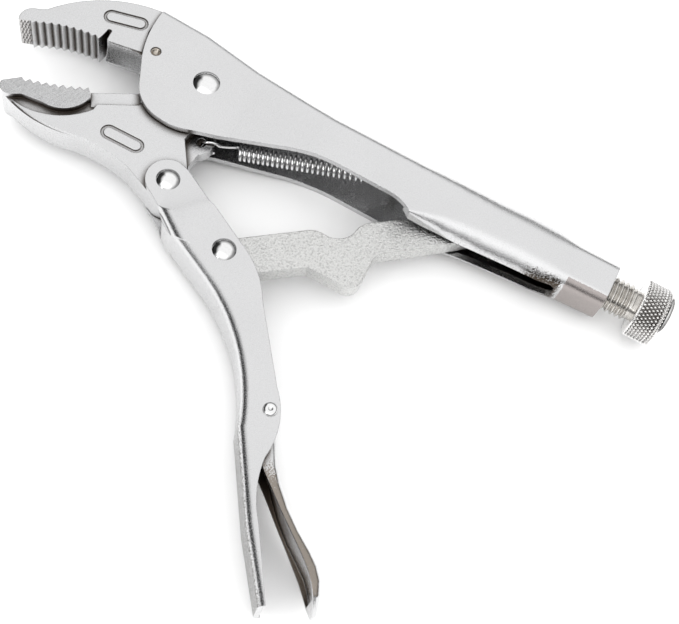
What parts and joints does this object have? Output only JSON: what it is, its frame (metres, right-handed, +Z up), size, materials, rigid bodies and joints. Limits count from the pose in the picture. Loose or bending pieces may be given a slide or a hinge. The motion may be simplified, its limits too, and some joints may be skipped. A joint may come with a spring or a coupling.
{
  "type": "locking pliers",
  "caption": "Curved-jaw locking pliers with wire cutter, toggle link, release lever, return spring and knurled adjusting screw, lying on its side with the lever open.",
  "frame": {"origin": "middle of the underside of the tool as it lies on its side", "axes": "+X along the fixed handle from the jaws to the knob, +Y from the lever side to the web of the fixed handle, +Z up, across the thickness"},
  "size_m": [0.2271, 0.1566, 0.0222],
  "materials": {
    "handle_plate": "satin nickel-chrome plate on pressed steel",
    "jaw_forging": "satin nickel-chrome plate on forged steel",
    "link_plate": "shot-blasted, plated steel plate",
    "rivet_steel": "polished plated steel",
    "screw_steel": "bright plated machined steel",
    "knob_steel": "bright plated steel, diamond knurl",
    "spring_steel": "bright plated spring wire",
    "spacer_steel": "plain turned steel"
  },
  "bodies": {
    "handle": {"fixed_handle": "handle_plate", "upper_jaw": "jaw_forging", "jaw_pin": "rivet_steel", "main_rivet": "rivet_steel", "return_spring": "spring_steel"},
    "lower_jaw": {"lower_jaw": "jaw_forging", "lever_rivet": "rivet_steel"},
    "lever": {"lever": "handle_plate", "link_rivet": "rivet_steel", "release_rivet": "rivet_steel", "link_spacer_near": "spacer_steel", "link_spacer_far": "spacer_steel"},
    "link": {"toggle_link": "link_plate"},
    "release": {"release_lever": "handle_plate"},
    "shank": {"screw_shank": "screw_steel"},
    "knob": {"screw_knob": "knob_steel"}
  },
  "joints": [
    {"name": "lever_fold", "type": "hinge", "parent": "lower_jaw", "child": "lever", "pos_m": [-0.0435, 0.0233, 0.0111], "axis": [0, 0, 1], "range_deg": [0, 57]},
    {"name": "jaw_close", "type": "hinge", "parent": "handle", "child": "lower_jaw", "pos_m": [-0.0503, 0.0601, 0.0111], "axis": [0, 0, 1], "range_deg": [-20.6, 0], "deforming": ["return_spring"]},
    {"name": "link_fold", "type": "hinge", "parent": "lever", "child": "link", "pos_m": [-0.0172, 0.0102, 0.0111], "axis": [0, 0, 1], "range_deg": [-50.34, 0]},
    {"name": "release_press", "type": "hinge", "parent": "lever", "child": "release", "pos_m": [0.0181, -0.0279, 0.0111], "axis": [0, 0, 1], "range_deg": [-7, 0]},
    {"name": "knob_turn", "type": "hinge", "parent": "shank", "child": "knob", "pos_m": [0.1027, 0.063, 0.0111], "axis": [1, 0, 0], "range_deg": [0, 1235]},
    {"name": "screw_travel", "type": "slide", "parent": "handle", "child": "shank", "axis": [1, 0, 0], "range_m": [0, 0.006]}
  ],
  "couplings": [
    {"joint": "jaw_close", "follows": "lever_fold", "ratio": -0.3614},
    {"joint": "link_fold", "follows": "lever_fold", "ratio": -0.88316},
    {"joint": "knob_turn", "follows": "screw_travel", "rad_per_m": 3590.4}
  ]
}
